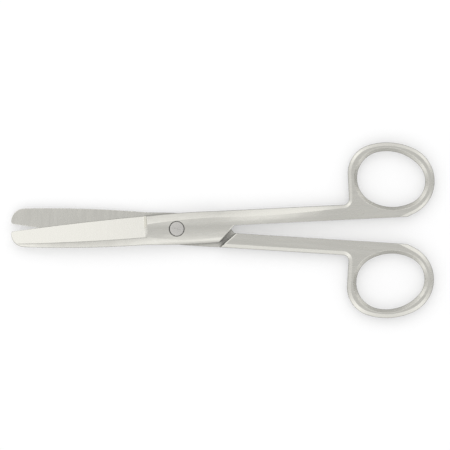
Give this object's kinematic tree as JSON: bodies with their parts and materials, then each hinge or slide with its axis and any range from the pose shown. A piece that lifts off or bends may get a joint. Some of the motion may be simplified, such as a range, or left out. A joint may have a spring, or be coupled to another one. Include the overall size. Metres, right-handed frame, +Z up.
{
  "type": "surgical scissors",
  "caption": "Straight operating scissors with blunt tips: forged halves with finger rings, lapped at the joint and held by a slotted pivot screw.",
  "frame": {"origin": "pivot axis where it meets the surface the scissors lie on, on the screw's flat end", "axes": "+Z up along the pivot axis, +X towards the finger rings along the pair's midline, +Y towards the upper half's ring"},
  "size_m": [0.1449, 0.0602, 0.0056],
  "materials": {
    "satin_steel": "satin stainless steel, finely brushed across the blades, with softly worn edges",
    "screw_steel": "satin stainless steel, ground nearly flush, with a fine driver slot"
  },
  "bodies": {
    "lower": {"lower_half": "satin_steel", "pivot_screw": "screw_steel"},
    "upper": {"upper_half": "satin_steel"}
  },
  "joints": [
    {"name": "pivot", "type": "hinge", "parent": "lower", "child": "upper", "pos_m": [0, 0, 0.0028], "axis": [0, 0, 1], "range_deg": [-6.4, 130]}
  ]
}
